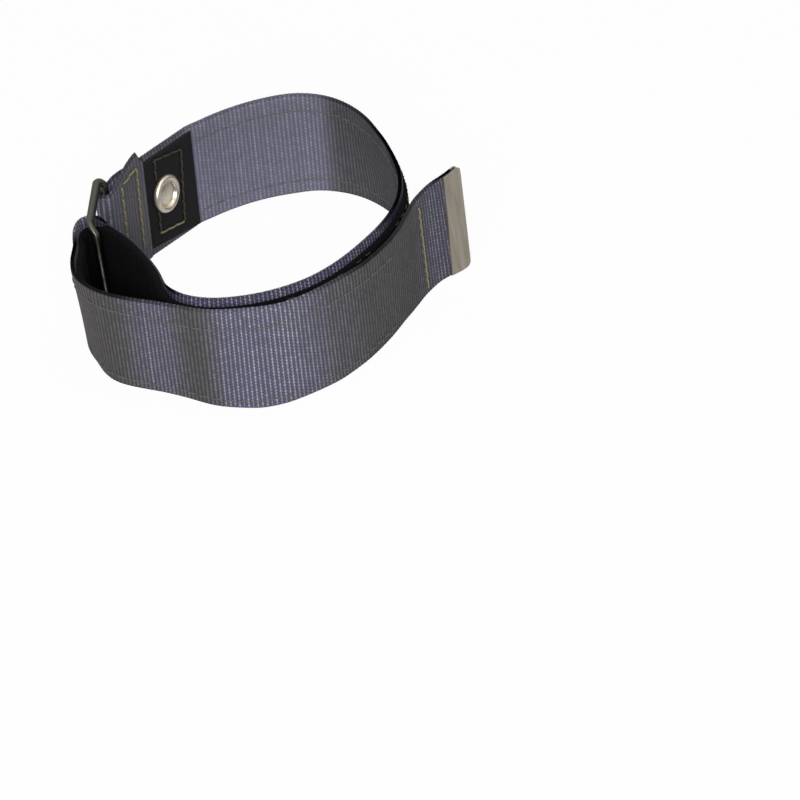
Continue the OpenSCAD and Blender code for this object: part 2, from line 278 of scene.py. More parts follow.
def on_band(s, out, z):
    """A point in metres: walk s mm along the band, step out mm to its left, rise z mm, and lean."""
    s, out, z = np.broadcast_arrays(s, out, z)
    plan = along_band(s, band_line) + out[..., None] * along_band(s, band_out)
    plan = plan + lean(s, z)[..., None] * along_band(s, lean_way)
    return metres(plan, z)


def on_keeper(along, out, z):
    """A point of the straight sewn part in metres: along it, out of the loop, up, and lean."""
    along, out, z = np.broadcast_arrays(along, out, z)
    plan = keeper_plan(along[..., None], out[..., None]) + plan_shift
    return metres(plan + lean(loop_s, z)[..., None] * keeper_lean, z)


# %% [markdown]
# ## The camera and the light
# The picture was taken with a long lens from 34 degrees above the floor, with the camera turned a little
# about its own axis. A camera six metres away with a narrow view gives the same near-parallel lines. The
# light is a broad soft panel in front of the strap, a weaker one above, and an even pale surrounding.

# %% Camera
# The picture's middle lies to the right of and below a known point: the origin of the stations, at the
# height of the band's upper edge. Lengths are in metres here.
view_rise = np.radians(34)
view_roll = np.radians(6.2)
picture_wide = 0.17925
middle_right = 0.03764
middle_below = 0.04145
camera_far = 6.0
sensor_wide = 36


def put(name, data, axes=None):
    """Put a camera, lamp or mesh in the scene. The axes are four columns: right, up, back and place."""
    made = bpy.data.objects.new(name, data)
    if axes is not None:
        made.matrix_world = Matrix([*axes.tolist(), [0, 0, 0, 1]])
    bpy.context.scene.collection.objects.link(made)
    return made


look = np.array([0, np.cos(view_rise), -np.sin(view_rise)])
level = np.array([1.0, 0, 0])
upright = np.cross(level, look)
camera_up = np.cos(view_roll) * upright + np.sin(view_roll) * level
camera_right = np.cos(view_roll) * level - np.sin(view_roll) * upright
known_point = np.array([*plan_shift, band_wide]) / 1000
picture_middle = known_point + middle_right * camera_right - middle_below * camera_up
camera_data = bpy.data.cameras.new("camera")
camera_data.sensor_width = sensor_wide
camera_data.lens = sensor_wide * camera_far / picture_wide
camera_axes = np.stack([camera_right, camera_up, -look, picture_middle - camera_far * look], axis=1)
bpy.context.scene.camera = put("camera", camera_data, camera_axes)
bpy.context.scene.view_settings.view_transform = "Standard"
print("lens", round(camera_data.lens), "mm")

# %% Colours, nodes and materials
def linear(code):
    """An sRGB hex colour as linear light: c / 12.92 when dark, ((c + 0.055) / 1.055) ^ 2.4 otherwise."""
    c = np.array([int(code[i : i + 2], 16) for i in (1, 3, 5)]) / 255
    light = np.where(c <= 0.04045, c / 12.92, ((c + 0.055) / 1.055) ** 2.4)
    return (*light.tolist(), 1.0)


def feed(target, inputs):
    """Fill a node's inputs with numbers, hex colours or outputs. A node means its first enabled output."""
    for key, value in inputs.items():
        if isinstance(value, bpy.types.Node):
            value = next(output for output in value.outputs if output.enabled)
        if isinstance(value, bpy.types.NodeSocket):
            target.id_data.links.new(value, target.inputs[key])
        else:
            target.inputs[key].default_value = linear(value) if isinstance(value, str) else value


def node(tree, kind, inputs=None, **settings):
    """Add one shader node: settings are its own properties, and inputs are fed to it."""
    made = tree.nodes.new("ShaderNode" + kind)
    for name, value in settings.items():
        setattr(made, name, value)
    feed(made, inputs or {})
    return made


def new_finish(name):
    """A new material: the material itself, what adds a node to it, and its main shader."""
    made = bpy.data.materials.new(name)
    made.use_nodes = True
    print(name)
    return made, partial(node, made.node_tree), made.node_tree.nodes["Principled BSDF"]


# %% Lamps
def panel(name, place, aim, size, power, tint):
    """A square lamp of this size at a place, turned so that it shines on the aim."""
    lamp = bpy.data.lights.new(name, "AREA")
    lamp.size = size
    lamp.energy = power
    lamp.color = linear(tint)[:3]
    to = np.array(aim) - np.array(place)
    back = -to / np.linalg.norm(to)
    side = np.cross([0, 0, 1.0], back)
    side = side / np.linalg.norm(side)
    put(name, lamp, np.stack([side, np.cross(back, side), back, place], axis=1))
    print(name, power, "W")


panel("front_panel", (-0.15, -1.5, 1.0), (0, 0, 0.01), 0.8, 25.0, "#ffffff")
panel("top_panel", (0.1, 0.0, 1.0), (0, 0, 0.01), 0.6, 1.6, "#fffaf2")


# %% Surroundings and floor
# What the camera sees of them is white, whatever light they give to the strap. Shiny metal mirrors a
# surrounding that is brighter above.
def sight(add):
    """The kinds of ray, and a number that is one for what the camera sees, directly or through glass."""
    rays = add("LightPath")
    ends = {0: rays.outputs["Is Camera Ray"], 1: rays.outputs["Is Transmission Ray"]}
    return rays, add("Math", ends, operation="MAXIMUM")


world = bpy.data.worlds.new("surroundings")
world.use_nodes = True
bpy.context.scene.world = world
world.node_tree.nodes.clear()
add = partial(node, world.node_tree)
rays, seen = sight(add)
around = add("TexCoord")
height = add("SeparateXYZ", {0: around.outputs["Generated"]})
mirrored = add("MapRange", {0: height.outputs[2], 1: 0.0, 2: 0.7, 3: 0.45, 4: 1.0})
strength = add("MapRange", {0: rays.outputs["Is Glossy Ray"], 3: 0.3, 4: mirrored})
strength = add("Math", {0: strength, 1: seen}, operation="MAXIMUM")
tint = add("Mix", {0: seen, 6: "#fffaf2", 7: "#ffffff"}, data_type="RGBA")
sky = add("Background", {"Color": tint, "Strength": strength})
add("OutputWorld", {"Surface": sky})

floor_reach = 3.0
floor_below = 0.0002
floor_mesh = bpy.data.meshes.new("floor")
floor_corners = [(x * floor_reach, y * floor_reach, 0) for x, y in ((-1, -1), (1, -1), (1, 1), (-1, 1))]
floor_mesh.from_pydata(floor_corners, [], [(0, 1, 2, 3)])
floor = put("floor", floor_mesh)
floor.location.z = -floor_below
paper, add, shader = new_finish("white_paper_sweep")
paper.node_tree.nodes.clear()
rays, seen = sight(add)
share = add("MapRange", {0: seen, 3: 0.0, 4: 0.96})
matt = add("BsdfDiffuse", {"Color": "#f0f0f0"})
glow = add("Emission", {"Color": "#ffffff", "Strength": 1.0})
mixed = add("MixShader", {0: share, 1: matt, 2: glow})
add("OutputMaterial", {"Surface": mixed})
floor_mesh.materials.append(paper)
print(world.name, "and a", floor.name)

# %% [markdown]
# ## From a grid of points to a mesh
# Nearly every piece here is a closed outline carried along a line: the band, the wire, a stitch. One
# function turns such a grid of points into a mesh and closes its ends, so each piece below is only the
# formula of its points. A modifier could do the same, but it would hide the formula.

# %% The mesh maker
def skin(name, grid, finish, uv=None, ring=False, sharp=40):
    """A mesh from points (pieces, rings, around, 3): quads join neighbours in both directions, and each
    piece's two ends are closed with one face, unless it is a ring that joins up with itself."""
    if grid.ndim == 3:
        grid = grid[None]
        uv = None if uv is None else uv[None]
    count, rings, around = grid.shape[:3]
    index = np.arange(count * rings * around).reshape(count, rings, around)
    beyond = np.roll(index, -1, axis=1)
    keep = slice(None) if ring else slice(0, -1)
    near = index[:, keep]
    far = beyond[:, keep]
    quads = np.stack([near, np.roll(near, -1, axis=2), np.roll(far, -1, axis=2), far], axis=-1)
    quads = quads.reshape(-1, 4)
    caps = np.concatenate([index[:, 0, ::-1], index[:, -1]]) if not ring else np.empty((0, around), int)
    points = grid.reshape(-1, 3)
    first = points[quads[: len(quads) // count]]
    first = first - first.mean(axis=(0, 1))
    turned = np.cross(first[:, 2] - first[:, 0], first[:, 3] - first[:, 1])
    if (first.mean(axis=1) * turned).sum() < 0:
        quads = quads[:, ::-1]
        caps = caps[:, ::-1]
    mesh = bpy.data.meshes.new(name)
    mesh.from_pydata(points.tolist(), [], quads.tolist() + caps.tolist())
    if uv is not None:
        corner = np.empty(len(mesh.loops), int)
        mesh.loops.foreach_get("vertex_index", corner)
        layer = mesh.uv_layers.new(name="cloth")
        layer.data.foreach_set("uv", uv.reshape(-1, 2)[corner].ravel())
    mesh.polygons.foreach_set("use_smooth", np.ones(len(mesh.polygons), bool))
    mesh.set_sharp_from_angle(angle=np.radians(sharp))
    mesh.materials.append(finish)
    print(name, len(mesh.polygons), "faces")
    return put(name, mesh)


def settle(piece, body, slot, *nodes):
    """Let a piece ride on a body and stand for the solids named. The slot is not used."""
    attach(piece, body)
    if nodes:
        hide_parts(*nodes)


def carry(piece, slot, start, end, bodies, *nodes):
    """Let cloth ride on its body. Cloth over a bend has its place baked in and rides on no body."""
    if len(bodies) == 1:
        settle(piece, bodies[0], slot, *nodes)
        return
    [tuple(on_band(s, 0, 0).tolist()) for s in (start, end)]
    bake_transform(piece)


# %% [markdown]
# ## The woven band
# The band is a plain-woven polyester webbing with a conductive yarn. The yarn runs across the band in
# close ribs, a millimetre apart, and goes over and under the lengthways threads, so each rib is a row of
# beads. The ribs are real shapes here, because they show along the band's edges, and the beads are a
# pattern on the band's own coordinates in millimetres.

# %% Painted sheen and shade along the band
# Where the yarn's pale lines show along the band is painted sheen. Each row is a distance along the band,
# then four
# shares there: how much painted sheen of the yarn shows, how dark the painted shade in the gaps between the
# ribs is, how dark the painted shade on the rim is, and how far the yarn's pattern is evened out.
rib_pitch = 1.0
bead_pitch = 0.8
rim_wide = 0.6
painted_sheen_rows = (
    (0, 0.25, 0, 0.6, 1), (9, 0.25, 0, 0.4, 0.8), (12, 0.5, 0.1, 0.4, 0.2), (16, 0.6, 0.2, 0.7, 0),
    (33, 0.3, 0, 0.25, 0.3), (42, 0.3, 0, 0.25, 0.5), (47, 0.87, 0, 0.3, 0.5), (77, 0.8, 0, 0.35, 0.5),
    (83, 0.15, 0, 0.6, 0.5), (104, 0.15, 0.2, 1, 0.2), (112, 0.0, 1, 1, 0), (131, 0.05, 1, 1, 0),
    (145, 1.0, 0.5, 0.3, 0), (193, 1.0, 0.5, 0.3, 0), (199, 0.1, 0.9, 1, 0), (233, 0.1, 0.9, 1, 0),
    (236, 1.0, 0.3, 0, 0), (241, 1.0, 0.3, 0, 0), (247, 0.05, 0, 1, 0), (270, 0.05, 0, 0.9, 0),
    (280, 0.6, 0.1, 0.6, 0), (283, 0.55, 0.1, 0.6, 0), (289, 0.08, 0, 0.4, 0), (292, 0.08, 0, 0.3, 0),
    (299, 0.78, 0.1, 0.2, 0), (315, 0.7, 0, 0.2, 0), (325, 0.22, 0, 0.5, 0), (336, 0.05, 0.1, 0.8, 0),
    (356, 0.0, 0.3, 0.6, 0), (361, 0.3, 0.3, 0.5, 0), (366, 0.6, 0.4, 0.5, 0), (371, 0.55, 0.4, 1, 0),
)

# %% Woven webbing with conductive yarn
# First the ribs and the beads, each with its number and the part of it that a point is on.
webbing, add, shader = new_finish("woven_webbing_with_conductive_yarn")
cloth = add("UVMap", uv_map="cloth")
place = add("SeparateXYZ", {0: cloth})
rib_count = add("Math", {0: place.outputs[0], 1: rib_pitch}, operation="DIVIDE")
rib_number = add("Math", {0: rib_count}, operation="FLOOR")
rib_part = add("Math", {0: rib_count, 1: 0.5}, operation="PINGPONG")
rib_crest = add("MapRange", {0: rib_part, 1: 0.06, 2: 0.36}, interpolation_type="SMOOTHSTEP")
yarn_line = add("MapRange", {0: rib_part, 1: 0.28, 2: 0.42}, interpolation_type="SMOOTHSTEP")
odd_rib = add("Math", {0: rib_number, 1: 2.0}, operation="MODULO")
bead_count = add("Math", {0: place.outputs[1], 1: bead_pitch}, operation="DIVIDE")
bead_shift = add("Math", {0: odd_rib, 1: 0.5, 2: bead_count}, operation="MULTIPLY_ADD")
bead_number = add("Math", {0: bead_shift}, operation="FLOOR")
bead_part = add("Math", {0: bead_shift, 1: 0.5}, operation="PINGPONG")
bead = add("MapRange", {0: bead_part, 1: 0.04, 2: 0.24, 3: 0.45, 4: 1.0}, interpolation_type="SMOOTHSTEP")
rung = add("MapRange", {0: bead_part, 1: 0.3, 2: 0.46, 3: 0.0, 4: 0.45}, interpolation_type="SMOOTHSTEP")
one_bead = add("CombineXYZ", {0: rib_number, 1: bead_number})
bead_chance = add("TexWhiteNoise", {"Vector": one_bead}, noise_dimensions="2D")
bead_even = add("MapRange", {0: bead_chance, 3: 0.5, 4: 1.0})
yarn_chance = add("TexWhiteNoise", {"W": rib_number}, noise_dimensions="1D")
yarn_even = add("MapRange", {0: yarn_chance, 3: 0.6, 4: 1.0})
ladder = add("Math", {0: yarn_line, 1: bead}, operation="MULTIPLY")
ladder = add("Math", {0: ladder, 1: rung}, operation="MAXIMUM")
for share in (bead_even, yarn_even):
    ladder = add("Math", {0: ladder, 1: share}, operation="MULTIPLY")

# The rows become the stops of a ramp along the band.
way_share = add("Math", {0: place.outputs[0], 1: end_s}, operation="DIVIDE")
painted_sheen_and_shade = add("ValToRGB", {0: way_share})
painted_sheen_and_shade.color_ramp.interpolation = "EASE"
for i, (s, *shares) in enumerate(painted_sheen_rows):
    stop = painted_sheen_and_shade.color_ramp.elements[i] if i < 2 else painted_sheen_and_shade.color_ramp.elements.new(s / end_s)
    stop.position = s / end_s
    stop.color = shares
ladder = add("Mix", {0: painted_sheen_and_shade.outputs[1], 2: ladder, 3: 0.3})
painted_sheen_and_shade = add("SeparateColor", {0: painted_sheen_and_shade})

# Plain grey cloth with painted shade in its rib valleys, pale yarn over it as painted sheen, painted shade in
# the gaps between the ribs, and a dark rim of painted shade along both edges.
patchy = add("TexNoise", {"Vector": cloth, "Scale": 0.3, "Detail": 3.0})
worn = add("MapRange", {0: patchy, 1: 0.3, 2: 0.7, 3: 0.8, 4: 1.0})
# Painted sheen: the ramp's first share, varied by a noise, is how much of the pale yarn lies over the cloth.
painted_sheen_share = add("Math", {0: painted_sheen_and_shade.outputs[0], 1: worn}, operation="MULTIPLY")
# Painted shade: the cloth is darker in the valleys between the rib crests, and varies at random from bead to
# bead.
valley_shade_and_flecks = add("Math", {0: rib_crest, 1: bead_even}, operation="MULTIPLY")
plain = add("Mix", {0: valley_shade_and_flecks, 6: "#333232", 7: "#575655"}, data_type="RGBA")
yarn = add("Mix", {0: ladder, 6: "#4a4a68", 7: "#c6c6d6"}, data_type="RGBA")
colour = add("Mix", {0: painted_sheen_share, 6: plain, 7: yarn}, data_type="RGBA")
# Painted shade in the gaps between the ribs, as deep as the ramp's second share says.
bare = add("Math", {0: 1.0, 1: ladder}, operation="SUBTRACT")
painted_gap_shade = add("Math", {0: painted_sheen_and_shade.outputs[1], 1: bare}, operation="MULTIPLY")
colour = add("Mix", {0: painted_gap_shade, 6: colour, 7: "#1b1a38"}, data_type="RGBA")
off_middle = add("Math", {0: place.outputs[1], 1: band_wide / 2}, operation="SUBTRACT")
off_middle = add("Math", {0: off_middle}, operation="ABSOLUTE")
rim_from = band_wide / 2 - rim_wide
rim_to = band_wide / 2 - rim_wide / 2
# Painted shade: a dark rim along both edges, as dark as the ramp's third share, with its specular taken away.
rim = add("MapRange", {0: off_middle, 1: rim_from, 2: rim_to, 3: 0.0, 4: painted_sheen_and_shade.outputs[2]})
colour = add("Mix", {0: rim, 6: colour, 7: "#08080b"}, data_type="RGBA")
gloss = add("MapRange", {0: rim, 3: 0.3, 4: 0.0})
metal = add("Math", {0: ladder, 1: gloss}, operation="MULTIPLY")
raised = add("Math", {0: rib_crest, 1: bead}, operation="MULTIPLY")
bump = add("Bump", {"Height": raised, "Strength": 0.4, "Distance": 0.0001})
feed(shader, {"Base Color": colour, "Metallic": metal, "Specular IOR Level": gloss, "Normal": bump,
              "Roughness": 0.6})

# %% The band's edges
# Each gather is a place where the ring draws the band together, how far its lower edge rises there, and the
# distances up to which it rises in full and at all. Each corner row is a distance along the band from its
# cut end, then how far its top edge stands above the usual height there. The pile is wider over wide_long.
wide_long = 36
gathers = ((rear_bar, 3.1, 2.6, 10.0), (pass_at, 2.3, 4.8, 12.0))
corner_rows = np.array([
    (1.0, 0.8), (1.7, 1.1), (2.7, 3.1), (4.2, 2.6), (6, 1.7), (8, 0.5), (9.8, -0.4), (13, -1.8), (18, -1.8),
    (20, -1.5), (22, -0.4), (24, 0), (232, 0), (235, 0.5), (243, 0.5), (250, 0), (278, 0), (288, 0.6),
    (325, 0.6), (335, 0), (344, 0), (354, 0.6), (375, 0.6),
])


def smooth_step(t):
    """A rise from 0 to 1 with level ends: 3 t^2 - 2 t^3."""
    t = np.clip(t, 0, 1)
    return t * t * (3 - 2 * t)


def before_ring(s):
    """One on the last stretch before the ring, where the pile reaches over the band's edge, else zero: a
    smooth step up over 8 mm and another one down over 4 mm."""
    return smooth_step((s - pass_s + wide_long) / 8) * smooth_step((pass_s + 1 - s) / 4)


def drawn_in(s):
    """How far the band's lower edge is drawn up to pass the ring: a smooth step of the distance from each
    place where it is gathered."""
    plan = along_band(s, band_line)
    drawn = np.zeros(np.shape(s))
    for bar, deep, near, far in gathers:
        away = np.linalg.norm(plan - (bar + plan_shift), axis=-1)
        drawn = np.maximum(drawn, deep * smooth_step((far - away) / (far - near)))
    return drawn


def raw_corner(s):
    """The height added to the band's top edge: the sewn fold stands up in a sharp corner near its cut end
    and dips next to the ring. The bend, the front of the flap and the tail are a little higher."""
    return np.interp(s, *corner_rows.T)


def squeezed(s):
    """The share of its thickness that the band keeps: the clip at its end presses it together."""
    return 1 - 0.65 * smooth_step((s - clip_s + 1) / 2)


# %% The band's outline and its ribs
edge_round = 0.3
edge_points = 6
face_points = 15
thin_edge = 0.5
band_top = band_wide + 0.2
cut_long = 6
ring_dip = 0.8
rib_deep = 0.07
rib_steps = 6


def outline():
    """The band's cross-section as four columns: side (-1 to 1), share of the height (0 to 1), and the
    outward direction (out, up). Two faces are joined by two half-round edges. The faces draw together
    towards the top by a high power of the height, so the upper selvedge is thin."""
    share = (1 - np.cos(np.linspace(0, np.pi, face_points))) / 2
    flat = np.zeros(face_points)
    face = 1 - (1 - thin_edge) * share**60
    bend = np.radians(np.linspace(-90, 90, edge_points + 2)[1:-1])
    one = np.ones(edge_points)
    inner = np.stack([-face, share, flat - 1, flat], axis=1)
    top = np.stack([thin_edge * np.sin(bend), one, np.sin(bend), np.cos(bend)], axis=1)
    outer = np.stack([face[::-1], share[::-1], flat + 1, flat], axis=1)
    bottom = np.stack([np.sin(bend[::-1]), 0 * one, np.sin(bend[::-1]), -np.cos(bend)], axis=1)
    return np.concatenate([inner, top, outer, bottom])


def woven(name, start, end):
    """A length of band: the outline stands at each step along it, and its skin dips between the ribs by
    depth (1 - sqrt(1 - q^2)), where q goes from -1 to 1 across a rib."""
    step = np.arange(int(round((end - start) / rib_pitch)) * rib_steps + 1)[:, None]
    s = start + step * rib_pitch / rib_steps
    q = 2 * ((step % rib_steps) / rib_steps) - 1
    dip = -rib_deep * (1 - np.sqrt(1 - q**2))
    side, share, push_out, push_up = outline().T[:, None]
    low = drawn_in(s) + edge_round + smooth_step((cut_long - s) / cut_long)
    high = band_top - edge_round + raw_corner(s) - ring_dip * before_ring(s)
    rise = low + (high - low) * share + push_up * (edge_round + dip)
    grid = on_band(s, (side * half_thick + push_out * dip) * squeezed(s), rise)
    uv = np.stack(np.broadcast_arrays(s, rise - share * raw_corner(s)), axis=-1)
    return skin(name, grid, webbing, uv, sharp=60)


def whole_rib(s):
    """The nearest place between two ribs."""
    return round(s / rib_pitch) * rib_pitch


# %% The lengths of band
bend_long = 11 * rib_pitch
band_start = rib_pitch
bend_from = whole_rib(flap_s - bend_long / 2)
bend_to = bend_from + bend_long
lift_from = whole_rib(tail_s - 2)
lift_to = lift_from + bend_long
band_end = whole_rib(end_s - 2.5)
for name, start, end, bodies, *nodes in (
    ("band_loop_cloth", band_start, bend_from, ["loop"], "band_loop"),
    ("band_bend_cloth", bend_from, bend_to, ["loop", "flap"]),
    ("band_flap_cloth", bend_to, lift_from, ["flap"], "band_flap"),
    ("band_lift_cloth", lift_from, lift_to, ["flap", "tail"]),
    ("band_tail_cloth", lift_to, band_end, ["tail"], "band_tail"),
):
    piece = woven(name, start, end)
    carry(piece, "webbing", start, end, bodies, *nodes)

# %% [markdown]
# ## Pile and hooks
# The band closes like many straps: a black knitted pile of small loops on its outer face, and a pad of
# stiff hooks on the flap. A flat black plate would look like rubber, so the pile is a rough tape with
# thousands of thread loops standing on it, and the pad has rows of small open hooks.

# %% Knitted loop pile, hook tape
def soft_black(name, code, grain_mm, rough):
    """A dull black textile: its colour and height vary with a noise whose grain is given in mm."""
    made, add, shader = new_finish(name)
    space = add("TexCoord")
    grain = add("TexNoise", {"Vector": space.outputs["Object"], "Scale": 1000 / grain_mm, "Detail": 4.0})
    tone = add("MapRange", {0: grain, 1: 0.3, 2: 0.75})
    colour = add("Mix", {0: tone, 6: "#060608", 7: code}, data_type="RGBA")
    bump = add("Bump", {"Height": grain, "Strength": 0.8, "Distance": 0.0003})
    feed(shader, {"Base Color": colour, "Normal": bump, "Roughness": rough, "Specular IOR Level": 0.12})
    return made


pile_finish = soft_black("knitted_nylon_loop_pile", "#0c0c10", 0.9, 0.95)
hook_finish = soft_black("moulded_nylon_hook_tape", "#131316", 1.6, 0.6)

# %% Strips and bent threads
chance = np.random.default_rng(7)
tape_step = 0.55
tape_rows = 40
sunk_in = 0.1
pile_flat = 0.5
pile_over = 1.9
pile_rises_at = 112
pile_rises_over = 22


def strip_edges(s, margin):
    """The heights of a strip's two edges: a margin inside the band's, but almost none at the top on the last
    stretch before the ring, where the pile is wider."""
    return margin + drawn_in(s), band_wide - (margin - pile_over * before_ring(s))


def pile_depth(s):
    """The pile lies flat behind the wrist and rises in a smooth step to its full height in front."""
    return pile_flat + (pile_thick - pile_flat) * smooth_step((s - pile_rises_at) / pile_rises_over)


def tape(name, start, end, depth, finish, roughness):
    """A flat strip sewn on the band, as deep as depth(s) says. Its free face is a grid along and across
    it, lower at its edges by a high power of the distance from the middle, with a seeded scatter."""
    s = np.linspace(start, end, max(3, int((end - start) / tape_step)))[:, None]
    v = np.linspace(1, 0, tape_rows)[None]
    low, high = strip_edges(s, tape_margin)
    ends = np.abs(2 * (s - start) / (end - start) - 1) ** 60
    crown = 1 - 0.55 * np.maximum(np.abs(2 * v - 1) ** 24, ends)
    scatter = chance.normal(0, roughness, crown.shape) if roughness else 0
    out = half_thick + depth(s) * crown + np.minimum(scatter, 0)
    out = np.concatenate([np.full((len(s), 2), half_thick - sunk_in), out], axis=1)
    rise = low + (high - low) * np.concatenate([[[0, 1]], v], axis=1)
    uv = np.stack(np.broadcast_arrays(s, rise), axis=-1)
    return skin(name, on_band(s, out, rise), finish, uv, sharp=70)


def arches(name, centre, along, up, long, high, radius, finish, turn=180, rings=7, around=7):
    """Many bent threads: each is half an ellipse from one foot over its top, long wide and high tall, and
    stops after the turn given in degrees. A small circle is carried along it."""
    angle = np.radians(np.linspace(0, turn, rings))[:, None, None]
    ring_angle = np.linspace(0, 2 * np.pi, around, endpoint=False)[None, :, None]
    across = np.cross(along, up)
    a, b, c, o = (x[:, None, None, :] for x in (along, up, across, centre))
    line_a = -long / 2 * np.cos(angle)
    line_b = high * np.sin(angle)
    norm_a = -np.cos(angle) * high
    norm_b = np.sin(angle) * long / 2
    size = np.sqrt(norm_a**2 + norm_b**2)
    reach_a = radius * np.cos(ring_angle) * norm_a / size
    reach_b = radius * np.cos(ring_angle) * norm_b / size
    reach_c = radius * np.sin(ring_angle) + 0 * angle
    grid = o + ((line_a + reach_a) * a + (line_b + reach_b) * b + reach_c * c) / 1000
    run_mm = long * angle / 2 + 0 * ring_angle
    uv = np.concatenate([run_mm, ring_angle / (2 * np.pi) + 0 * angle], axis=-1)
    uv = np.broadcast_to(uv, (len(centre), *uv.shape))
    return skin(name, grid, finish, uv, sharp=80)


def scattered(start, end, margin, out, spacing):
    """Seeded places on a strip of the band, out(s) from its middle, one to each square of the spacing,
    with the two directions along the band and out of it."""
    across = np.linspace(0, 1, int((band_wide - 2 * margin) / spacing))
    down = np.arange(start, end, spacing)
    s, share = (x.ravel() for x in np.meshgrid(down, across, indexing="ij"))
    s = np.clip(s + chance.uniform(-0.35, 0.35, s.shape) * spacing, start, end)
    share = np.clip(share + chance.uniform(-0.35, 0.35, s.shape) / len(across), 0, 1)
    low, high = strip_edges(s, margin)
    rise = low + (high - low) * share
    return on_band(s, out(s), rise), level_along(s, band_ahead), level_along(s, band_out)


# %% Pile tape and hook tape
up_3 = np.array([0, 0, 1.0])
loop_spacing = 0.95
loop_wide = 0.6
loop_high = 0.66
loop_thread_r = 0.075
hook_tape_thick = 0.6
hook_size = 0.8
hook_r = 0.1
hook_step = 1.6
hook_column = 1.55


def pile_cloth(name, start, end):
    """Pile tape with one thread loop to each square of the spacing, turned at random about its own axis."""
    base = tape(name, start, end, lambda s: 0.8 * pile_depth(s), pile_finish, 0.12)
    centre, forward, up = scattered(start + 0.4, end - 0.4, tape_margin + 0.3,
                                    lambda s: half_thick + pile_depth(s) - 0.84, loop_spacing)
    turn = chance.uniform(0, np.pi, len(centre))[:, None]
    along = np.cos(turn) * forward + np.sin(turn) * up_3
    loops = arches(name + "_loops", centre, along, up, loop_wide, loop_high, loop_thread_r, pile_finish,
                   rings=5, around=3)
    return base, loops


def hook_cloth(name, start, end):
    """Hook tape with rows of hooks that face both ways by turns: each is an arch, open at its tip."""
    base = tape(name, start, end, lambda s: hook_tape_thick + 0 * s, hook_finish, 0)
    down = np.arange(start + 0.9, end - 0.7, hook_step)
    across = np.arange(tape_margin + 1, band_wide - tape_margin - 0.5, hook_column)
    s, rise = (x.ravel() for x in np.meshgrid(down, across, indexing="ij"))
    along = level_along(s, band_ahead) * np.where(np.round(rise / hook_column) % 2 == 0, 1, -1)[:, None]
    centre = on_band(s, half_thick + hook_tape_thick - 0.05, rise)
    hooks = arches(name + "_hooks", centre, along, level_along(s, band_out), hook_size, hook_size, hook_r,
                   hook_finish, turn=140, rings=6, around=4)
    return base, hooks


for name, slot, start, end, bodies, under, *nodes in (
    ("pile_loop_tape", "pile", pile_s, bend_from, ["loop"], "band_loop_cloth", "pile_strip_loop"),
    ("pile_bend_tape", "pile", bend_from, bend_to, ["loop", "flap"], "band_bend_cloth"),
    ("pile_flap_tape", "pile", bend_to, flap_pile_end, ["flap"], "band_flap_cloth", "pile_strip_flap"),
    ("hook_flap_tape", "hooks", hook_s, lift_from, ["flap"], "band_flap_cloth", "hook_pad"),
    ("hook_lift_tape", "hooks", lift_from, lift_to, ["flap", "tail"], "band_lift_cloth"),
    ("hook_tail_tape", "hooks", lift_to, hook_end_s, ["tail"], None, "hook_pad_end"),
):
    base, threads = (pile_cloth if slot == "pile" else hook_cloth)(name, start, end)
    carry(base, slot, start, end, bodies, *nodes)
    carry(threads, slot, start, end, bodies)

# %% [markdown]
# ## The patch behind the snap
# A rectangle of black woven tape keeps the snap from tearing out of the band. It is a thin slab with
# softly rounded edges, sunk a little along its seam, and its plain weave of half-millimetre threads shows
# as a faint check.

# %% Black woven tape
thread_wide = 0.5
patch_finish, add, shader = new_finish("black_plain_woven_tape")
cloth = add("UVMap", uv_map="cloth")
check = add("TexChecker", {"Vector": cloth, "Scale": 1 / thread_wide})
fuzz = add("TexNoise", {"Vector": cloth, "Scale": 2.5, "Detail": 3.0})
height = add("Math", {0: check.outputs[1], 1: 0.5, 2: fuzz}, operation="MULTIPLY_ADD")
tone = add("MapRange", {0: height, 1: 0.2, 2: 1.1})
colour = add("Mix", {0: tone, 6: "#070709", 7: "#131318"}, data_type="RGBA")
bump = add("Bump", {"Height": height, "Strength": 0.6, "Distance": 0.0001})
feed(shader, {"Base Color": colour, "Normal": bump, "Roughness": 0.85, "Specular IOR Level": 0.3})

# %% The patch
patch_from = fold_long - 0.6
patch_long = 16.3
patch_thick = 0.6
patch_margin = 1.0
patch_columns = 54
patch_rows = 90
patch_corners = np.array([(15.9, 23.0), (24.5, 21.5), (23.3, 3.8), (15.5, 4.8)])
patch_lines = list(zip(patch_corners, np.roll(patch_corners, -1, axis=0)))


def seam_dip(along, z):
    """How deep the thread pulls the patch in: a narrow bell round the nearest side of the seam's box."""
    spot = np.stack(np.broadcast_arrays(along, z), axis=-1)
    away = np.full(spot.shape[:-1], 9.0)
    for start, end in patch_lines:
        way = end - start
        t = np.clip((spot - start) @ way / (way @ way), 0, 1)
        away = np.minimum(away, np.linalg.norm(spot - start - t[..., None] * way, axis=-1))
    return 0.22 * np.exp(-(away**2) / 0.5)


along = np.linspace(patch_from, patch_from + patch_long, patch_columns)[:, None]
v = np.linspace(1, 0, patch_rows)[None]
part = (along - patch_from) / patch_long
low = 2.2 - 1.7 * part
high = band_wide - patch_margin
rise = low + (high - low) * v
crown = np.maximum(np.abs(2 * v - 1) ** 40, np.abs(2 * part - 1) ** 24)
thick = patch_thick * (1 - 0.5 * crown) - seam_dip(along, rise)
out = np.concatenate([np.full((patch_columns, 2), half_thick - sunk_in), half_thick + thick], axis=1)
rise = np.concatenate([low, np.full((patch_columns, 1), high), rise], axis=1)
uv = np.stack(np.broadcast_arrays(along, rise), axis=-1)
patch = skin("eyelet_patch_cloth", on_keeper(along, -out, rise), patch_finish, uv, sharp=70)
settle(patch, "loop", "patch", "eyelet_patch")

# %% [markdown]
# ## Yellow sewing thread
# Each visible stitch is a short arch of twisted thread that dips into the cloth at both ends. The seams
# are placed where the strap has them: a box on the sewn fold, a box on the patch, a row that ends the
# hooks, and a long row near each edge of the band, where the thread has sunk into the weave.

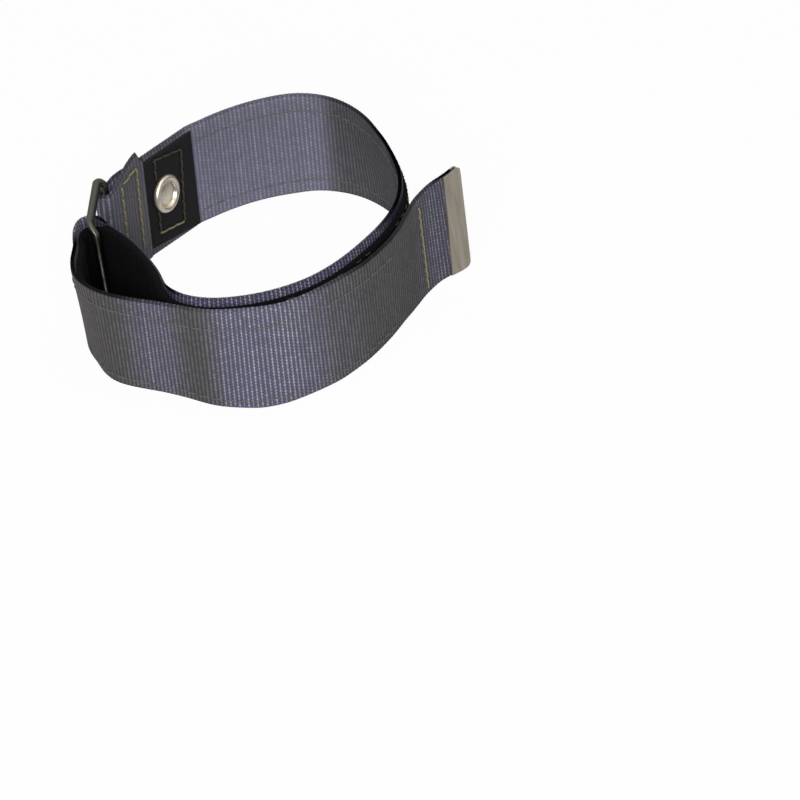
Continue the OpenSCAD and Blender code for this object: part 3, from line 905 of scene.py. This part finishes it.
# %% Twisted polyester thread
def sewing_thread(name, dark, pale):
    """A thread of two colours that wind round it: the twist is a ramp along it added to the way round."""
    made, add, shader = new_finish(name)
    cloth = add("UVMap", uv_map="cloth")
    place = add("SeparateXYZ", {0: cloth})
    twist = add("Math", {0: place.outputs[0], 1: 2.2, 2: place.outputs[1]}, operation="MULTIPLY_ADD")
    strand = add("Math", {0: twist, 1: 0.5}, operation="PINGPONG")
    tone = add("MapRange", {0: strand, 1: 0.0, 2: 0.3}, interpolation_type="SMOOTHSTEP")
    colour = add("Mix", {0: tone, 6: dark, 7: pale}, data_type="RGBA")
    bump = add("Bump", {"Height": tone, "Strength": 0.5, "Distance": 0.00008})
    feed(shader, {"Base Color": colour, "Normal": bump, "Roughness": 0.55})
    return made


thread = sewing_thread("twisted_polyester_sewing_thread", "#4e4a36", "#8c8565")
sunk_thread = sewing_thread("sewing_thread_sunk_in_the_weave", "#525049", "#66635a")
# A darker copy of the thread, for the patch's box and the row on the pile's edge.
dark_thread = sewing_thread("darker_sewing_thread", "#1f1d14", "#363320")

# %% The seams of the sewn part
# Lines go from one (distance, height) to another, in mm on the sewn part.
thread_r = 0.24
stitch_pitch = 2.4
stitch_long = 2.3
stitch_high = 0.22
eyelet_at = np.array([18.1, 13.6])
eyelet_wide = 9.0
keeper_lines = [((3.5, 8.8), (3.5, 23.1)), ((4.3, 23.3), (9.2, 24.9)), ((9.3, 24.8), (9.1, 4.6))]
keeper_ahead = np.array([*ahead(keeper_turn), 0])
keeper_in = -np.array([*beside(keeper_turn), 0])


def on_fold(along, z):
    """A point on the inner face of the sewn fold."""
    return on_band(fold_long - along, half_thick, z)


def on_patch(along, z):
    """A point on the patch, just under its surface."""
    return on_keeper(along, -half_thick - patch_thick + 0.15, z)


def keeper_seam(name, place, lines, finish):
    """Stitches along lines of the sewn part, which the function place turns into points. A stitch that the
    eyelet would cover is left out."""
    centre = []
    direction = []
    for start, end in lines:
        way = np.array(end) - start
        long = np.linalg.norm(way)
        count = int(long / stitch_pitch)
        spots = start + (np.arange(count) + 0.5)[:, None] / count * way
        spots = spots[np.linalg.norm(spots - eyelet_at, axis=1) > eyelet_wide / 2 + 1]
        centre.append(place(spots[:, 0], spots[:, 1]))
        direction.append(np.tile((way[0] * keeper_ahead + way[1] * up_3) / long, (len(spots), 1)))
    centre = np.concatenate(centre)
    facing = np.broadcast_to(keeper_in, centre.shape)
    return arches(name, centre, np.concatenate(direction), facing, stitch_long, stitch_high, thread_r, finish)


patch_sides = [patch_lines[k] for k in (0, 1, 3)]
for name, place, lines, finish, *nodes in (
    ("keeper_thread", on_fold, keeper_lines, thread, "keeper_stitching"),
    ("patch_thread", on_patch, patch_sides, dark_thread, "patch_stitching"),
    ("patch_low_thread", on_patch, [patch_lines[2]], thread),
):
    settle(keeper_seam(name, place, lines, finish), "loop", "thread", *nodes)

# %% The seams of the band
tail_stitches = 9
seam_pitch = 3
seam_long = 2.5
seam_thread_r = 0.14
edge_pitch = 3.2
edge_thread_r = 0.13


def band_seam(name, s, rise, standing, long, high, sink, radius, finish):
    """Stitches on the band's ribbed face at distances s and heights rise, standing up or lying along it."""
    along = np.broadcast_to(up_3, (len(s), 3)) if standing else level_along(s, band_ahead)
    centre = on_band(s, -half_thick + sink, rise)
    return arches(name, centre, along, -level_along(s, band_out), long, high, radius, finish)


def long_seam(name, start, end, heights):
    """Rows of long stitches, one pitch apart, at the heights given."""
    spots = np.linspace(start, end, int((end - start) / seam_pitch) + 1)
    s, rise = (x.ravel() for x in np.meshgrid(spots, heights, indexing="ij"))
    return band_seam(name, s, rise, False, seam_long, 0.16, 0.1, seam_thread_r, sunk_thread)


tail_spots = np.full(tail_stitches, tail_seam_s + 2.4)
tail_rise = np.linspace(2.8, 21.8, tail_stitches)
tail_thread = band_seam("tail_thread", tail_spots, tail_rise, True, 2.4, 0.26, 0, thread_r, thread)
settle(tail_thread, "tail", "thread", "tail_stitching")
for name, start, end, heights, body, solid in (
    ("loop_thread", loop_s + 4, pass_s - 8, (3.2, 21.0), "loop", "loop_seams"),
    ("flap_thread", flap_s + 8, tail_s - 5.5, (2.0, 20.6), "flap", "flap_seams"),
):
    settle(long_seam(name, start, end, heights), body, "thread", solid)

# A row on the pile's upper edge shows through it here and there.
edge_s = np.arange(126.0, pass_s - 60, edge_pitch)
edge_s = edge_s[chance.random(len(edge_s)) < 0.75]
edge_spots = on_band(edge_s, half_thick + 0.75 * pile_depth(edge_s), band_wide - tape_margin - 0.1)
edge_along = level_along(edge_s, band_ahead)
edge_out = level_along(edge_s, band_out)
pile_thread = arches("pile_thread", edge_spots, edge_along, edge_out, 1.5, 0.2, edge_thread_r, dark_thread)
settle(pile_thread, "loop", "thread")

# %% [markdown]
# ## Metal parts
# The ring is bright plated wire, the snap is pressed from nickel-plated brass, and the tail's clip is a
# strip of sheet metal folded over the band. Turned shapes are a profile swept round an axis, and the ring
# is a circle carried along a rounded rectangle.

# %% Plated metals
def plated(name, code, rough, blotch_mm, stretch):
    """A plated metal: a soft blotch noise of the size given varies its roughness, and stretch draws it
    out along the height as rolling or polishing does."""
    made, add, shader = new_finish(name)
    space = add("TexCoord")
    drawn = add("Mapping", {"Vector": space.outputs["Object"], "Scale": (1, 1, 1 / stretch)})
    blotch = add("TexNoise", {"Vector": drawn, "Scale": 1000 / blotch_mm, "Detail": 5.0})
    level = add("MapRange", {0: blotch, 1: 0.3, 2: 0.7, 3: rough * 0.75, 4: rough * 1.3})
    dull = linear(code)
    worn = tuple(0.7 * c for c in dull[:3]) + (1.0,)
    tone = add("MapRange", {0: blotch, 1: 0.3, 2: 0.7})
    colour = add("Mix", {0: tone, 6: worn, 7: dull}, data_type="RGBA")
    feed(shader, {"Base Color": colour, "Roughness": level, "Metallic": 0.85})
    return made


nickel = plated("nickel_plated_brass", "#ece4d2", 0.3, 3.0, 1)
wire_finish = plated("plated_steel_wire", "#a9aaa1", 0.31, 2.0, 3)
clip_finish = plated("satin_rolled_steel_sheet", "#aaa398", 0.38, 1.2, 12)

# The drawing of the wire left fine marks round it, so a highlight on it is stretched along the wire. Its
# colour is kept bright low on the front bar and darkened above as a painted dark reflection.
add = partial(node, wire_finish.node_tree)
shader = wire_finish.node_tree.nodes["Principled BSDF"]
wire_way = add("Tangent", direction_type="UV_MAP", uv_map="cloth")
space = add("TexCoord")
place = add("SeparateXYZ", {0: space.outputs["Object"]})
# Painted dark reflection: the wire's colour darkens from 14 to 21 mm up.
painted_reflection_mask = add("MapRange", {0: place.outputs[2], 1: 0.014, 2: 0.021, 3: 1.0, 4: 0.0})
bright = shader.inputs["Base Color"].links[0].from_socket
tone = add("Mix", {0: painted_reflection_mask, 6: "#54554f", 7: bright}, data_type="RGBA")
feed(shader, {"Base Color": tone, "Tangent": wire_way, "Anisotropic": 0.9, "Metallic": 1.0})

# %% The ring
# Use has bent the wire: it bows in the middle, its front bar leans, and its upper bar is pushed aside.
ring_sag = 0.5
ring_bow = 2.1
bar_lean = 0.06
top_push = 0.8
corner_points = 11
wire_points = 20
wire_round = wire_r - 0.05
quarters = [np.linspace(k, k + 90, corner_points) for k in (0, 90, 180, 270)]
corner_turn = np.radians(np.concatenate(quarters))[:, None]
low = ring_lift + wire_r + ring_corner
high = ring_lift + ring_high - wire_r - ring_corner - ring_sag
far = ring_long - ring_corner
mid_x = np.repeat([far, ring_corner, ring_corner, far], corner_points)[:, None]
mid_z = np.repeat([high, high, low, low], corner_points)[:, None]
round_turn = np.linspace(0, 2 * np.pi, wire_points, endpoint=False)[None]
spread = ring_corner + wire_round * np.cos(round_turn)
ring_x = mid_x + spread * np.cos(corner_turn)
ring_z = mid_z + spread * np.sin(corner_turn)
ring_part = np.clip(ring_x / ring_long, 0, 1)
ring_y = wire_round * np.sin(round_turn) - ring_bow * np.sin(np.pi * ring_part)
ring_y = ring_y - bar_lean * ring_part * (ring_z - 18) - top_push * smooth_step((ring_z - 25) / 2)
ring_plan = ring_x[..., None] * ahead(ring_turn) + ring_y[..., None] * beside(ring_turn)
ring_plan = rear_bar + plan_shift + ring_plan + lean(loop_s, ring_z)[..., None] * keeper_lean
ring_way = np.arange(len(corner_turn))[:, None] / len(corner_turn)
uv = np.stack(np.broadcast_arrays(ring_way, round_turn / (2 * np.pi)), axis=-1)
settle(skin("ring_wire", metres(ring_plan, ring_z), wire_finish, uv, ring=True), "ring", "ring_wire", "ring")


# %% The snap
def turned(name, profile, centre, facing, rise):
    """A profile of (radius, height) points swept round an axis through a centre. The axis has a heading and
    rises by an angle, both in degrees."""
    profile = np.array(profile)
    turn = np.linspace(0, 2 * np.pi, 56, endpoint=False)[None]
    radius = profile[:, :1]
    tilt = np.radians(rise)
    axis = np.array([*(np.cos(tilt) * ahead(facing)), np.sin(tilt)])
    across = np.array([*beside(facing), 0])
    side = radius * np.cos(turn)
    upright = radius * np.sin(turn)
    height = profile[:, 1:] + 0 * turn
    grid = side[..., None] * across + upright[..., None] * np.cross(axis, across) + height[..., None] * axis
    return skin(name, centre + grid / 1000, nickel, sharp=50)


def bow(radius, height, size, start, end, count):
    """Part of a circle in a profile: its middle, its size, its first and last angle, and its points."""
    turn = np.radians(np.linspace(start, end, count))
    return np.stack([radius + size * np.cos(turn), height + size * np.sin(turn)], axis=1)


dish_wide = 2.55
dish_r = np.linspace(0.05, dish_wide, 14)
dish = np.stack([dish_r, 0.75 - 0.2 * (dish_r / dish_wide) ** 2], axis=1)
rim = np.maximum(bow(3.72, 0.5, 0.75, 200, -45, 20), -0.1)
eyelet_profile = [*dish, (2.72, 0.35), *rim[2:], (3.9, -0.35), (0.05, -0.35)]
eyelet_base = on_keeper(eyelet_at[0], -half_thick - patch_thick, eyelet_at[1])
settle(turned("eyelet_metal", eyelet_profile, eyelet_base, keeper_turn - 81, 6), "loop", "nickel", "eyelet")
flange = bow(4.2, 0.3, 0.3, -90, 90, 9)
head = bow(1.4, 2.6, 0.6, 0, 90, 8)
stud_profile = [(0.05, -0.05), *flange, (2.2, 0.62), (1.85, 0.72), (1.7, 0.95), (1.7, 1.45), (1.82, 1.6),
                (2.0, 1.7), *head, (0.9, 3.16), (0.05, 3.1)]
stud_base = on_keeper(fold_long + 6.7, half_thick, band_wide / 2)
settle(turned("stud_metal", stud_profile, stud_base, keeper_turn + 90, 0), "loop", "nickel", "snap_stud")

# %% The folded clip
# A sheet's section is carried down one leg, round the nose and back up the other leg.
clip_thick = 0.5
clip_mid = 0.35 * half_thick + 0.05 + clip_thick / 2
clip_high = band_top
clip_shear = 1.8
corner = 1.5
leg = np.linspace(clip_s + 1.5, end_s, 12)
flat = np.ones(len(leg))
nose = np.radians(np.linspace(-90, 90, 17))[1:-1]
clip_way = np.concatenate([leg, end_s + clip_mid * np.cos(nose), leg[::-1]])
clip_out = np.concatenate([-flat, np.sin(nose), flat])[:, None]
clip_on = np.concatenate([0 * flat, np.cos(nose), 0 * flat])[:, None]
from_nose = np.clip(corner - (end_s + clip_mid - clip_way), 0, corner)
clip_low = (corner - np.sqrt(corner**2 - from_nose**2))[:, None]
sheet_turn = np.radians(np.linspace(0, 360, 20, endpoint=False))[None]
face = np.sign(np.cos(sheet_turn)) * np.abs(np.cos(sheet_turn)) ** 0.35
stand = np.sign(np.sin(sheet_turn)) * np.abs(np.sin(sheet_turn)) ** 0.12
rise = clip_high / 2 + (clip_high / 2 - clip_low) * stand
reach = clip_thick / 2 * face
walk = np.minimum(clip_way, end_s)[:, None] - clip_shear * (1 - rise / clip_high)
beyond = np.maximum(clip_way - end_s, 0)[:, None] + reach * clip_on
side = (clip_mid + reach) * clip_out
plan = on_band(walk, 0, rise)[..., :2] * 1000 + side[..., None] * along_band(walk, band_out)
plan = plan + beyond[..., None] * along_band(end_s, band_ahead)
settle(skin("clip_metal", metres(plan, rise), clip_finish, sharp=50), "tail", "clip_steel", "end_clip")
